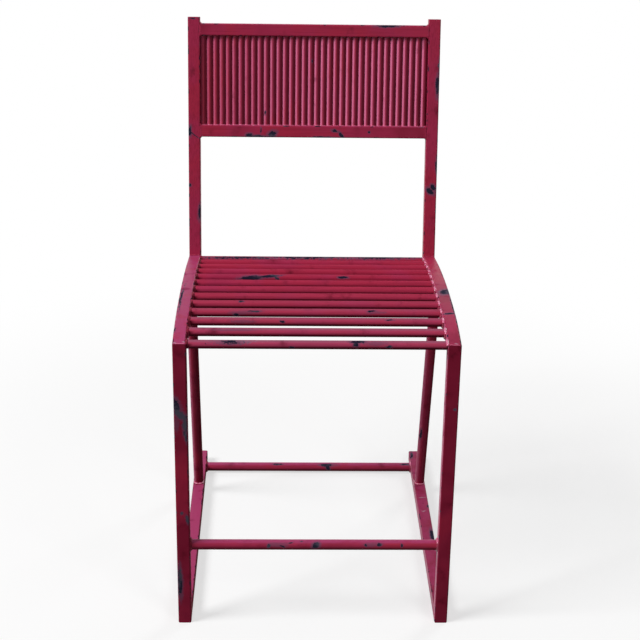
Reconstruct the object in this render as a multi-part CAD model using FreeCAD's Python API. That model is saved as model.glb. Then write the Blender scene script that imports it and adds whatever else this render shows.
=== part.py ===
import FreeCAD, Part
import math
import os

from FreeCAD import Vector

# A welded steel dining chair with an arched seat of cross tubes and a back of close upright rods.
# All lengths are in millimetres and all angles in degrees.
# X runs across the chair, Y to the back and Z up. The origin is on the floor, in the middle of
# the footprint.

# Main frame
chair_width = 420.0
floor_depth = 544.0
seat_depth = 430.0
seat_front_height = 474.0
seat_front_rise = 10.0
seat_rear_drop = 31.0
seat_crown_setback = 100.0
back_height = 846.0
back_rake = 10.3

# Square tube of the frame
tube_side = 20.0
tube_wall = 1.5
tube_outer_corner = 2.2
tube_inner_corner = 0.8
cap_thickness = 1.5

# Round cross tubes of the seat
seat_tube_count = 13
seat_tube_diameter = 13.0
seat_tube_wall = 1.2
seat_tube_proud = 0.5
first_seat_tube_setback = 9.6
last_seat_tube_clearance = 11.0

# Back panel
post_stub = 10.2
rod_length = 147.4
rod_count = 36
rods_per_group = 2
rod_gap = 0.06

# Round legs and rungs
rear_leg_diameter = 17.2
rear_leg_wall = 1.5
rear_leg_top_setback = 295.0
rear_leg_foot_setback = 422.0
rung_diameter = 16.0
rung_wall = 1.5
front_rung_height = 135.0
rear_rung_clearance = 45.0

# How far a cutter or an untrimmed end reaches past the cut
overrun = 6.0

# Places worked out from the sizes above
front = -floor_depth / 2
post_front = front + seat_depth
crown_y = front + seat_crown_setback
seat_crown_height = seat_front_height + seat_front_rise
seat_rear_height = seat_crown_height - seat_rear_drop
clear_width = chair_width - 2 * tube_side
side_x = (chair_width - tube_side) / 2

x_axis = Vector(1, 0, 0)
y_axis = Vector(0, 1, 0)
z_axis = Vector(0, 0, 1)


def arc_radius(run, fall):
    """Radius of an arc that is level at one end and has fallen by fall after run."""
    return (run ** 2 + fall ** 2) / (2 * fall)


front_arc_radius = arc_radius(seat_crown_setback, seat_front_rise)
rear_arc_radius = arc_radius(seat_depth - seat_crown_setback, seat_rear_drop)


def arc_height(y, radius):
    """Height at y of a circle of this radius about the centre of the seat's arc there."""
    if y < crown_y:
        centre_z = seat_crown_height - front_arc_radius
    else:
        centre_z = seat_crown_height - rear_arc_radius
    return centre_z + math.sqrt(radius ** 2 - (y - crown_y) ** 2)


def seat_top(y):
    """Height of the side rails' top face at y."""
    return arc_height(y, front_arc_radius if y < crown_y else rear_arc_radius)


# Square tube

def rounded_square(side, corner):
    """Closed outline of a square with rounded corners, centred on the origin of the XY plane."""
    half = side / 2
    flat = half - corner
    bow = flat + corner * math.sqrt(0.5)
    edges = []
    for quarter in range(4):
        straight = Part.LineSegment(Vector(half, -flat, 0), Vector(half, flat, 0)).toShape()
        bend = Part.Arc(Vector(half, flat, 0), Vector(bow, bow, 0), Vector(flat, half, 0)).toShape()
        for edge in (straight, bend):
            edges.append(edge.rotated(Vector(), z_axis, 90 * quarter))
    return Part.Wire(edges)


def tube_section(centre, direction):
    """Hollow face of the square tube, square to direction."""
    outside = rounded_square(tube_side, tube_outer_corner)
    inside = rounded_square(tube_side - 2 * tube_wall, tube_inner_corner)
    section = Part.makeFace([outside, inside], "Part::FaceMakerBullseye")
    section.Placement = FreeCAD.Placement(centre, FreeCAD.Rotation(z_axis, direction))
    return section


def square_tube(start, direction, length):
    """Straight square tube whose middle line begins at start."""
    return tube_section(start, direction).extrude(direction * length)


def end_cap(start, direction):
    """Square plate with the tube's outline that closes an end."""
    plate = Part.Face(rounded_square(tube_side, tube_outer_corner))
    plate.Placement = FreeCAD.Placement(start, FreeCAD.Rotation(z_axis, direction))
    return plate.extrude(direction * cap_thickness)


def round_tube(start, end, diameter, wall):
    """Straight round tube between two points."""
    run = end - start
    outside = Part.makeCylinder(diameter / 2, run.Length, start, run)
    bore = Part.makeCylinder(diameter / 2 - wall, run.Length, start, run)
    return outside.cut(bore)


def beyond(point, normal):
    """Block that fills the space on the far side of a plane, for trimming an end."""
    reach = 2 * tube_side + overrun
    block = Part.makeBox(2 * reach, 2 * reach, reach, Vector(-reach, -reach, 0))
    block.Placement = FreeCAD.Placement(point, FreeCAD.Rotation(z_axis, normal))
    return block


# Side frames

# The upper mitre runs from the outer corner of leg and rail to their inner corner.
inner_corner_y = front + tube_side
inner_corner_height = arc_height(inner_corner_y, front_arc_radius - tube_side)
upper_mitre = Vector(0, seat_front_height - inner_corner_height, tube_side)
lower_mitre = Vector(0, 1, -1)


def front_leg(x):
    """Square tube from the floor to the seat's front corner, mitred at both ends."""
    leg = square_tube(Vector(x, front + tube_side / 2, 0), z_axis, seat_front_height)
    leg = leg.cut(beyond(Vector(x, front, seat_front_height), upper_mitre))
    return leg.cut(beyond(Vector(x, front, 0), lower_mitre))


def side_rail(x):
    """Arched square tube of the seat: a short front arc and a long rear arc, level at the crown."""
    section = tube_section(Vector(x, crown_y, seat_crown_height - tube_side / 2), y_axis)
    rail = None
    for radius, run, turn in ((front_arc_radius, seat_crown_setback, 1),
                              (rear_arc_radius, post_front - crown_y, -1)):
        angle = math.degrees(math.asin(run / radius) + overrun / radius)
        half = section.revolve(Vector(x, crown_y, seat_crown_height - radius), x_axis, turn * angle)
        rail = half if rail is None else rail.fuse(half)
    rail = rail.cut(beyond(Vector(x, front, seat_front_height), -upper_mitre))
    return rail.cut(beyond(Vector(x, post_front, seat_rear_height), post_back))


def floor_runner(x):
    """Square tube on the floor from the front leg's mitre to its capped rear end."""
    runner = square_tube(Vector(x, front, tube_side / 2), y_axis, floor_depth - cap_thickness)
    return runner.cut(beyond(Vector(x, front, 0), -lower_mitre))


def runner_cap(x):
    """Plate on the rear end of a floor runner."""
    return end_cap(Vector(x, front + floor_depth - cap_thickness, tube_side / 2), y_axis)


def rear_leg(x):
    """Sloping round tube from the runner's top face to the underside of the side rail."""
    foot = Vector(x, front + rear_leg_foot_setback, tube_side)
    top_y = front + rear_leg_top_setback
    top = Vector(x, top_y, arc_height(top_y, rear_arc_radius - tube_side))
    slope = (top - foot).normalize()
    leg = round_tube(foot - slope * overrun, top + slope * overrun, rear_leg_diameter, rear_leg_wall)
    arc_centre = Vector(-chair_width, crown_y, seat_crown_height - rear_arc_radius)
    below_rail = Part.makeCylinder(rear_arc_radius - tube_side, 2 * chair_width, arc_centre, x_axis)
    return leg.common(below_rail).cut(beyond(Vector(x, foot.y, tube_side), -z_axis))


# Back, built upright above the seat's rear corner and then leaned back about it

hinge_line = Vector(0, post_front, seat_rear_height)
post_rise = (back_height - seat_rear_height) / math.cos(math.radians(back_rake))
post_middle = post_front + tube_side / 2
post_foot = seat_rear_height - tube_side
post_top = seat_rear_height + post_rise
top_rail_top = post_top - post_stub
rod_top = top_rail_top - tube_side
rod_foot = rod_top - rod_length
post_back = Vector(0, math.cos(math.radians(back_rake)), -math.sin(math.radians(back_rake)))


def leaned(shape):
    """The shape turned back by the rake about the seat's rear corner."""
    return shape.rotated(hinge_line, x_axis, -back_rake)


def back_post(x):
    """Square tube from the underside of the side rail to the top of the back."""
    start = Vector(x, post_middle, post_foot + cap_thickness)
    return leaned(square_tube(start, z_axis, post_top - post_foot - 2 * cap_thickness))


def post_top_cap(x):
    """Plate on the upper end of a back post."""
    return leaned(end_cap(Vector(x, post_middle, post_top - cap_thickness), z_axis))


def post_foot_cap(x):
    """Plate on the lower end of a back post."""
    return leaned(end_cap(Vector(x, post_middle, post_foot), z_axis))


def back_rail(top):
    """Square tube across the back, between the posts, with its upper face at top."""
    start = Vector(-clear_width / 2, post_middle, top - tube_side / 2)
    return leaned(square_tube(start, x_axis, clear_width))


def back_rods(first, last):
    """Solid upright rods from number first up to last, side by side with a hair's breadth between."""
    pitch = clear_width / rod_count
    rods = []
    for number in range(first, last):
        x = (number + 0.5) * pitch - clear_width / 2
        foot = Vector(x, post_middle, rod_foot)
        rods.append(leaned(Part.makeCylinder((pitch - rod_gap) / 2, rod_length, foot, z_axis)))
    return Part.makeCompound(rods)


# Cross members

def cross_tube(y, z, diameter, wall):
    """Round tube from the inner face of one side frame to the inner face of the other."""
    half = clear_width / 2
    return round_tube(Vector(-half, y, z), Vector(half, y, z), diameter, wall)


def seat_tube(number):
    """Cross tube of the seat, number 0 at the front, following the arch of the rails."""
    last_setback = seat_depth - last_seat_tube_clearance
    pitch = (last_setback - first_seat_tube_setback) / (seat_tube_count - 1)
    y = front + first_seat_tube_setback + number * pitch
    z = seat_top(y) + seat_tube_proud - seat_tube_diameter / 2
    return cross_tube(y, z, seat_tube_diameter, seat_tube_wall)


# Every piece, by name

pieces = {}
for side, x in (("left", -side_x), ("right", side_x)):
    pieces["front_leg_" + side] = front_leg(x)
    pieces["side_rail_" + side] = side_rail(x)
    pieces["floor_runner_" + side] = floor_runner(x)
    pieces["runner_cap_" + side] = runner_cap(x)
    pieces["rear_leg_" + side] = rear_leg(x)
    pieces["back_post_" + side] = back_post(x)
    pieces["post_top_cap_" + side] = post_top_cap(x)
    pieces["post_foot_cap_" + side] = post_foot_cap(x)

for number in range(seat_tube_count):
    pieces["seat_tube_%02d" % (number + 1)] = seat_tube(number)

pieces["back_top_rail"] = back_rail(top_rail_top)
pieces["back_bottom_rail"] = back_rail(rod_foot)
for group, first in enumerate(range(0, rod_count, rods_per_group)):
    last = min(first + rods_per_group, rod_count)
    pieces["back_rods_%02d" % (group + 1)] = back_rods(first, last)

pieces["front_rung"] = cross_tube(front + tube_side / 2, front_rung_height, rung_diameter, rung_wall)
pieces["rear_rung"] = cross_tube(front + floor_depth - rear_rung_clearance, tube_side / 2,
                                 rung_diameter, rung_wall)

os.makedirs("parts", exist_ok=True)
for name, shape in pieces.items():
    shape.exportStep(os.path.join("parts", name + ".step"))
    print(name, len(shape.Solids), shape.isValid(), round(shape.Volume))
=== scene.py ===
import math
import random
from collections import namedtuple
from functools import partial

import bmesh
import bpy
from mathutils import Matrix, Vector
from mathutils.bvhtree import BVHTree


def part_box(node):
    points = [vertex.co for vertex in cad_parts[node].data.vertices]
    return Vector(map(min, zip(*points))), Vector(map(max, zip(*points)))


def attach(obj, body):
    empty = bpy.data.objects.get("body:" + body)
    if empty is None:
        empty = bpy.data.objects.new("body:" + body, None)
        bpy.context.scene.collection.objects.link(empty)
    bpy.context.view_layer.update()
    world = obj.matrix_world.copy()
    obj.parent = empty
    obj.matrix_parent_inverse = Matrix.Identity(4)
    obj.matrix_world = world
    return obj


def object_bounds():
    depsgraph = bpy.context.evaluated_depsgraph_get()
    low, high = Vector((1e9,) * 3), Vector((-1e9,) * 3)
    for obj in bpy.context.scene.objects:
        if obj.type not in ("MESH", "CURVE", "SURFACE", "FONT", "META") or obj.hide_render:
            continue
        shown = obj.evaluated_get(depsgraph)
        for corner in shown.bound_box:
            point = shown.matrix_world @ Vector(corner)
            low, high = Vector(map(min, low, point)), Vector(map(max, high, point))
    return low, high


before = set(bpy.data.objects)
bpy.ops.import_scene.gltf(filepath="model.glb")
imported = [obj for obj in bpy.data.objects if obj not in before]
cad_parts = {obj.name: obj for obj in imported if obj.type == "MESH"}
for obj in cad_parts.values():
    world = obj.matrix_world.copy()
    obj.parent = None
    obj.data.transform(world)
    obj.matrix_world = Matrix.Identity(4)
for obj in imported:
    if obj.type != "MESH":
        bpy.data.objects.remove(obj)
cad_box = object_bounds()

bl_info = {
    "name": "Distressed steel chair",
    "version": (1, 0, 0),
    "blender": (4, 5, 0),
    "location": "3D View > Sidebar > Chair",
    "description": "Chipped enamel and weld beads for a steel dining chair, and the studio it stands in",
    "category": "Object",
}

mm = 0.001

# Points that lie within a hair of a face belong to it
hair = 0.02 * mm

sides = ("left", "right")
seat_tubes = sorted(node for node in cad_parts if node.startswith("seat_tube_"))
rod_pairs = sorted(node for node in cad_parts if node.startswith("back_rods_"))

across = Vector((1, 0, 0))
backward = Vector((0, 1, 0))
up = Vector((0, 0, 1))

# The side frames, each with the direction in which it lies from the middle
side_runs = (("left", -across), ("right", across))

# The photograph's frame in pixels, and the width of the camera's sensor in millimetres
photo_side = 640
sensor_width = 36


def pair(name):
    """The left and right nodes of one kind."""
    return [name + "_" + side for side in sides]


def linear(hex_colour):
    """Linear RGB of an sRGB hex colour."""
    shares = [int(hex_colour[start:start + 2], 16) / 255 for start in (1, 3, 5)]
    return [share / 12.92 if share <= 0.04045 else ((share + 0.055) / 1.055) ** 2.4 for share in shares]


def colour_setting(name, description, hex_colour):
    """Colour that a user may change, from its sRGB hex value."""
    return bpy.props.FloatVectorProperty(name=name, description=description, subtype="COLOR", min=0,
                                         max=1, default=linear(hex_colour))


def length_setting(name, description, default, least=0.0):
    """Length that a user may change."""
    return bpy.props.FloatProperty(name=name, description=description, default=default, min=least,
                                   unit="LENGTH")


def share_setting(name, description, default, most=1.0):
    """Share that a user may change."""
    return bpy.props.FloatProperty(name=name, description=description, default=default, min=0, max=most)


def angle_setting(name, description, degrees):
    """Angle that a user may change."""
    return bpy.props.FloatProperty(name=name, description=description, default=math.radians(degrees),
                                   unit="ROTATION")


def place_setting(name, description, default):
    """Place that a user may change."""
    return bpy.props.FloatVectorProperty(name=name, description=description, default=default,
                                         subtype="XYZ", unit="LENGTH")


class PaintSettings(bpy.types.PropertyGroup):
    enamel: colour_setting("Enamel", "Crimson of the top coat", "#a82a4e")
    deep: colour_setting("Deep enamel", "Thicker, browner patches of the top coat", "#881a36")
    ruddy: colour_setting("Ruddy enamel", "Redder patches where the top coat lies thin", "#ac2641")
    # Painted sheen: this chalky pink stands in for the sheen of light on the faces that look up
    faded: colour_setting("Faded enamel", "Chalky pink of the faces that look up", "#a83c68")
    # Painted light: this pink lightens faces turned to the lamps, and the crests of flooded beads as a
    # painted highlight
    bleached: colour_setting("Bleached enamel", "Pink of the flanks that faced the sun", "#dc7098")
    # Painted shade mixed with dirt: this dark red darkens grooves, undersides, inner faces, joint ends
    # and beads where shade falls, and random blotches of dirt
    grime: colour_setting("Grime", "Dark red dirt in grooves and at joints", "#560a1c")
    halo: colour_setting("Thinned enamel", "Greyed paint round a chip", "#6e4460")
    # Partly wear, partly a painted highlight on the tops of the seat tubes
    worn: colour_setting("Worn enamel", "Greyed pink where sitters rub the tops of the tubes", "#99516a")
    scuff: colour_setting("Scuffed enamel", "Chalky marks where the coat is rubbed but whole", "#b48fa4")
    primer: colour_setting("Primer", "Blue-black undercoat that chips show", "#201c30")
    steel: colour_setting("Blackened steel", "Dull, oxidised steel in the middle of a chip", "#524a5a")
    gloss_roughness: share_setting("Enamel roughness", "Roughness of sound enamel", 0.34)
    gloss: share_setting("Enamel gloss", "Specular level of sound enamel, worn low", 0.14)
    patch_size: length_setting("Patch size", "Usual size of a redder or browner patch", 110 * mm)
    blotch_size: length_setting("Blotch size", "Usual size of a chalky or dirty blotch", 28 * mm)
    streak_width: length_setting("Brush mark width", "Width of one mark of the brush", 1.6 * mm)
    streak_length: length_setting("Brush mark length", "Length of one mark of the brush", 70 * mm)
    streak_height: length_setting("Brush mark height", "Height of the brush's ridges", 0.06 * mm)
    peel_width: length_setting("Ripple width", "Width of a faint ripple in the dried coat", 3.5 * mm)
    peel_height: length_setting("Ripple height", "Height of a ripple in the dried coat", 0.05 * mm)
    flake_width: length_setting("Flake width", "Usual width of a small flake lost from the coat", 16 * mm)
    far_chip_length: length_setting("Far chip length", "Usual length of a chip on the far sides", 34 * mm)
    far_chip_width: length_setting("Far chip width", "Usual width of a chip on the far sides", 14 * mm)
    far_hold: share_setting("Far side hold", "How well the coat holds there: lower gives more chips", 0.8,
                            most=2)
    joint_width: length_setting("Joint width", "Breadth of the enamel between two rods", 0.35 * mm)
    joint_depth: length_setting("Joint depth", "Depth of the enamel between two rods", 2.2 * mm)
    chip_grain: length_setting("Chip grain", "Size of the teeth along a chip's edge", 3 * mm)
    chip_bend: length_setting("Chip bend", "Size of the bends in a chip's outline", 8 * mm)
    chip_depth: length_setting("Coat thickness", "Depth of a chip below the coat", 0.25 * mm)


class WeldSettings(bpy.types.PropertyGroup):
    seat_leg: length_setting("Seat tube bead", "Leg of the bead round a seat tube's end", 3.0 * mm)
    rod_leg: length_setting("Rod bead", "Leg of the bead round a back rod's end", 0.9 * mm)
    frame_leg: length_setting("Frame bead", "Leg of the beads that join square tubes", 2.2 * mm)
    round_leg: length_setting("Leg and rung bead", "Leg of the rear legs' and rungs' beads", 2.8 * mm)
    seam_half_width: length_setting("Seam half width", "Half the width of a mitre's seam", 1.5 * mm)
    ripple: length_setting("Ripple", "Distance from one ripple of a bead to the next", 2.4 * mm)
    scale_size: length_setting("Scale size", "Usual size of a patch of scale on a bead", 6 * mm)
    scale_height: length_setting("Scale height", "Roughness of a bead under the enamel", 0.15 * mm)
    station_gap: length_setting("Station gap", "Distance between the sections of a bead's mesh",
                                0.45 * mm, least=0.1 * mm)
    crown: share_setting("Crown", "How far a bead swells out, as a share of its leg", 0.22)
    dressed_crown: share_setting("Dressed crown", "The same share on a bead that is ground back", 0.12)
    corner_crown: share_setting("Corner crown", "The same share on the front corners' beads", 0.45)
    corner_half_width: length_setting("Corner half width", "Half the width of those beads", 1.95 * mm)
    corner_start: length_setting("Corner start", "Where they start, from the leg's inner face", 2 * mm)
    corner_end: length_setting("Corner end", "Where they end, from the leg's inner face", 17 * mm)
    sink: length_setting("Sink", "How far a bead's edges reach into the steel", 0.12 * mm)
    tube_corner: length_setting("Tube corner", "Corner radius of the square tube", 2.2 * mm)


class StageSettings(bpy.types.PropertyGroup):
    camera_place: place_setting("Camera place", "Where the camera stands", (-0.052, -2.302, 1.354))
    heading: angle_setting("Heading", "Turn of the camera to the right", 1.56)
    tilt: angle_setting("Tilt", "Tilt of the camera down", 22.5)
    roll: angle_setting("Roll", "Roll of the camera", 0.92)
    focal_length: bpy.props.FloatProperty(
        name="Focal length", description="In millimetres on a 36 mm sensor", default=86.06, min=1)
    floor_size: length_setting("Floor size", "Side of the paper floor", 24)
    shade_radius: length_setting("Shade radius", "How far out the paper keeps all of its shade", 0.45)
    white_radius: length_setting("White radius", "How far out the paper turns quite white", 1.3)
    fibre_size: length_setting("Fibre size", "Size of a paper fibre, drawn coarse enough to show", 4 * mm)
    fibre_height: length_setting("Fibre height", "Height of a fibre in the paper", 0.05 * mm)
    paper: colour_setting("Paper", "Pale studio paper on the floor", "#fcfcfc")
    bounce: colour_setting("Bounce", "What the floor sends back on to the chair", "#3c3c3c")
    ambient: share_setting("Ambient", "Strength of the room's own light", 0.10)


# Where each soft box hangs, in words and in metres, its side in metres and its power in watts
soft_boxes = {
    "key": ("above the front left", (-5.12, -2.0, 5.35), 2.7, 474),
    "fill": ("above the front right", (1.6, -2.6, 2.2), 1.0, 20),
    "rear": ("behind the chair", (2.3, 2.6, 2.2), 1.2, 38),
    "top": ("overhead", (-0.3, 0.4, 2.9), 1.6, 6),
}
for light, (where, place, side_length, power) in soft_boxes.items():
    title = light.capitalize() + " light "
    StageSettings.__annotations__.update({
        light + "_place": place_setting(title + "place", "Where the soft box " + where + " hangs", place),
        light + "_size": length_setting(title + "size", "Side of the soft box " + where, side_length),
        light + "_power": bpy.props.FloatProperty(
            name=title + "power", description="Power of the soft box " + where, default=power, min=0,
            unit="POWER")})


def camera_turn(stage):
    """Rotation of the photograph's camera, whose own axes are right, up and backward."""
    facing = Matrix.Rotation(-stage.heading, 3, up) @ Matrix.Rotation(math.pi / 2 - stage.tilt, 3, across)
    return facing @ Matrix.Rotation(stage.roll, 3, up)


def focal_pixels(stage):
    """Focal length counted in pixels of the photograph."""
    return photo_side * stage.focal_length / sensor_width


def sight(pixel_across, pixel_down):
    """The camera's place and its line of sight through a pixel of the photograph."""
    stage = bpy.context.scene.chair_stage
    ray = Vector((pixel_across - photo_side / 2, photo_side / 2 - pixel_down, -focal_pixels(stage)))
    return Vector(stage.camera_place), (camera_turn(stage) @ ray).normalized()


def surface(*nodes):
    """Search tree over the faces of some CAD nodes."""
    corners, faces = [], []
    for node in nodes:
        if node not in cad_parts:
            raise RuntimeError("The packed model has no node called " + node)
        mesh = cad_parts[node].data
        first = len(corners)
        corners += [vertex.co.copy() for vertex in mesh.vertices]
        faces += [[first + index for index in face.vertices] for face in mesh.polygons]
    return BVHTree.FromPolygons(corners, faces)


# Marks in the paint

# A chip or scuff: where its middle lies in the photograph and its length and breadth there, in
# pixels, and how far its length turns clockwise from level, in degrees
Mark = namedtuple("Mark", "across down length breadth turn", defaults=(0,))

seat_chips = (
    Mark(251, 278.2, 21, 5, -4),
    Mark(268, 276.2, 24, 2.6, -5),
    Mark(277, 278, 5, 3, 40),
    Mark(241.3, 301.3, 5, 1.8),
    Mark(254, 311.5, 13, 1.6),
    Mark(236, 314.3, 6, 2.6),
    Mark(282.5, 321.4, 4.5, 2.4),
    Mark(342.8, 277.3, 9, 2.6),
    Mark(372, 310.9, 9, 1.8),
    Mark(390, 320.3, 8, 1.5),
    Mark(358, 341.8, 15, 2.8),
    Mark(356, 345, 6, 5),
    Mark(389, 346.6, 6, 2.4),
    Mark(292, 347.4, 4, 1.6),
)
seat_wear = (
    Mark(231, 341.8, 36, 5.5),
    Mark(245, 257.6, 100, 3.4),
    Mark(313, 257.4, 120, 3.4),
    Mark(380, 257.6, 100, 3.4),
)
seat_thinned = (
    Mark(244, 312.5, 40, 5),
    Mark(242, 321.5, 36, 5),
    Mark(236, 330, 60, 3.4),
    Mark(376, 312.5, 30, 3.4),
    Mark(376, 343.5, 32, 6),
)
seat_scuffs = (
    Mark(313, 258, 226, 1.8),
    Mark(234, 341.5, 44, 5),
)
rail_chips = (
    Mark(446.5, 291.8, 11, 6.5, 12),
    Mark(449.5, 313.6, 11, 1.4, -4),
    Mark(459, 322, 10, 2.2, 75),
    Mark(181, 297.5, 15, 1.8, 104),
)
rail_wear = (
    Mark(455, 306, 64, 2.2, 74),
    Mark(443, 275, 28, 1.4, 66),
    Mark(182.3, 296, 62, 1.2, 103),
    Mark(174.6, 330, 22, 2.2, 99),
)
rail_scuffs = (
    Mark(174.4, 325, 34, 1.4, 99),
    Mark(181, 300, 30, 1.2, 103),
    Mark(458, 318, 30, 1.0, 75),
    # The last five marks paint glints along the front corners' top edge: painted highlights
    Mark(174.8, 342.6, 5, 1.8),
    Mark(184, 341.8, 5, 1.6),
    Mark(187.6, 339.5, 4, 2.6, 60),
    Mark(448.5, 341, 3, 2.4, 60),
    Mark(456, 343.6, 6, 1.4),
)
post_chips = (
    Mark(192, 18.6, 6, 1),
    Mark(190, 131, 10, 3.6, 90),
    Mark(194, 134.5, 15, 1.2, 37),
    Mark(190, 185, 3, 3),
    Mark(200.5, 212, 15, 3.6, 94),
    Mark(437.6, 86, 20, 3.6, 91),
    Mark(439.2, 69, 16, 1.4, 91),
    Mark(436.6, 167, 16, 1.8, 90),
    Mark(433, 187.5, 7, 5, 60),
    Mark(430, 191.5, 9, 5, 35),
)
back_rail_chips = (
    Mark(388.5, 26, 22, 3),
    Mark(259, 137.2, 24, 3),
    Mark(272.3, 134.4, 9, 6.5, -30),
    Mark(260.5, 130, 6, 1.6, 90),
    Mark(249, 135.5, 7, 4.5),
    Mark(334.5, 131, 6, 2.6, 20),
    Mark(341, 135.4, 9, 3, 52),
    Mark(321, 137.6, 22, 1.4),
    Mark(369, 132.5, 2.6, 2.4),
)
rod_chips = (
    Mark(265.2, 113, 4, 1.6, 90),
    Mark(312, 61, 3, 1.4, 90),
)
front_leg_chips = (
    Mark(176.2, 407, 17, 6.5, 76),
    Mark(180.4, 415, 15, 7, 36),
    Mark(184.8, 425, 16, 4.6, 85),
    Mark(185.4, 436, 13, 2.8, 80),
    Mark(181.9, 513.4, 2.8, 2.6),
    Mark(187.3, 519.5, 8, 2.8, 75),
    Mark(180.2, 582, 28, 4.6, 88),
    Mark(455, 409.7, 2.8, 2.2),
)
front_leg_thinned = (
    Mark(178, 408, 22, 12, 78),
    Mark(184.3, 428, 28, 7, 86),
    Mark(176.5, 424, 22, 7, 88),
    Mark(179.6, 583, 36, 7, 88),
)
runner_chips = (
    Mark(429, 506, 12, 2.6, 75),
    Mark(432, 535, 11, 4, 78),
    Mark(411.5, 455, 6, 2.4, 90),
)
runner_scuffs = (
    Mark(421.5, 497.5, 7, 1),
    Mark(424, 511, 7, 1.6, -6),
)
rung_chips = (
    Mark(278, 464.3, 10, 1.4),
    Mark(326.5, 465, 13, 2.6),
    Mark(328, 468, 6, 4, 60),
    Mark(405.5, 464.3, 9, 1.8),
    Mark(268.7, 546, 4, 3, 80),
    Mark(282.5, 546.5, 5, 1.3, 20),
    Mark(290.4, 542.8, 5, 1.3, -10),
    Mark(302, 541.8, 3, 1.2),
    Mark(316, 545.6, 8, 6, -30),
    Mark(365.8, 545.6, 3, 3),
    Mark(379.3, 545, 5, 3),
    Mark(402, 545.5, 4, 2.2, 90),
)
rung_thinned = (
    Mark(278, 545, 28, 7),
    Mark(316.5, 544.5, 10, 8),
    Mark(373, 545, 26, 6),
    Mark(330, 464.8, 22, 5),
)
rear_leg_chips = (
    Mark(420.6, 434, 9, 2, 100),
)


def seen_point(tree, pixel_across, pixel_down):
    """Point of a surface that the photograph shows at a pixel, or the nearest to its line of sight."""
    start, ray = sight(pixel_across, pixel_down)
    point, normal, _, _ = tree.ray_cast(start, ray)
    if point is None:
        nearest_piece, farthest_piece, stride = 1.8, 3.2, 10 * mm
        steps = int((farthest_piece - nearest_piece) / stride)
        stations = [start + ray * (nearest_piece + step * stride) for step in range(steps)]
        point, normal, _, _ = min((tree.find_nearest(station) for station in stations),
                                  key=lambda found: found[3])
    return point, normal


def mark_space(tree, mark):
    """Place, rotation and half lengths of the flat ellipsoid that a mark fills on the steel."""
    point, normal = seen_point(tree, mark.across, mark.down)
    start, ray = sight(mark.across, mark.down)
    if normal.dot(ray) > 0:
        normal = -normal
    scale = (point - start).dot(ray) / focal_pixels(bpy.context.scene.chair_stage)
    turn = math.radians(mark.turn)
    half_length, half_breadth = mark.length / 2, mark.breadth / 2
    _, along_ray = sight(mark.across + half_length * math.cos(turn),
                         mark.down + half_length * math.sin(turn))
    _, beside_ray = sight(mark.across - half_breadth * math.sin(turn),
                          mark.down + half_breadth * math.cos(turn))
    slant_limit = 0.3
    along, beside = [
        start + other * (point - start).dot(normal) / min(other.dot(normal), -slant_limit) - point
        for other in (along_ray, beside_ray)]
    along -= normal * along.dot(normal)
    beside -= normal * beside.dot(normal)
    first = along.normalized()
    second = normal.cross(first)
    least_depth, most_depth = 1.5 * mm, 4 * mm
    depth = min(max(half_breadth * scale, least_depth), most_depth)
    rotation = Matrix((first, second, normal)).transposed().to_euler()
    return point, rotation, (along.length, max(abs(beside.dot(second)), half_breadth * scale), depth)


# Materials

def add_node(tree, kind, settings, inputs, output=0):
    """Add a node of a kind, set it, feed its inputs and return one of its outputs, if it has any."""
    made = tree.nodes.new("ShaderNode" + kind)
    for name, value in settings.items():
        setattr(made, name, value)
    for name, value in inputs.items():
        if isinstance(value, bpy.types.NodeSocket):
            tree.links.new(value, made.inputs[name])
        else:
            made.inputs[name].default_value = value
    return made.outputs[output] if made.outputs else None


# Settings of the nodes that the materials use most. A mix of colours takes them at its inputs 6 and 7
# and gives the result at its output 2
smooth = {"interpolation_type": "SMOOTHSTEP"}
multiply = {"operation": "MULTIPLY"}
larger = {"operation": "MAXIMUM"}
smaller = {"operation": "MINIMUM"}
multiply_add = {"operation": "MULTIPLY_ADD"}
colour = {"data_type": "RGBA"}


def blank_material(name):
    """New material with an empty node tree, and the function that adds nodes to that tree."""
    material = bpy.data.materials.new(name)
    material.use_nodes = True
    material.node_tree.nodes.clear()
    return material, partial(add_node, material.node_tree)


def nearest_mark(add, place, steel, marks):
    """Distance to the nearest mark, counted in its own half lengths."""
    nearest = None
    for mark in marks:
        middle, rotation, half_lengths = mark_space(steel, mark)
        local = add("Mapping", {"vector_type": "TEXTURE"}, {
            "Vector": place, "Location": middle, "Rotation": rotation, "Scale": half_lengths})
        reach = add("VectorMath", {"operation": "LENGTH"}, {0: local}, "Value")
        nearest = reach if nearest is None else add("Math", smaller, {0: nearest, 1: reach})
    return nearest


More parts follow.
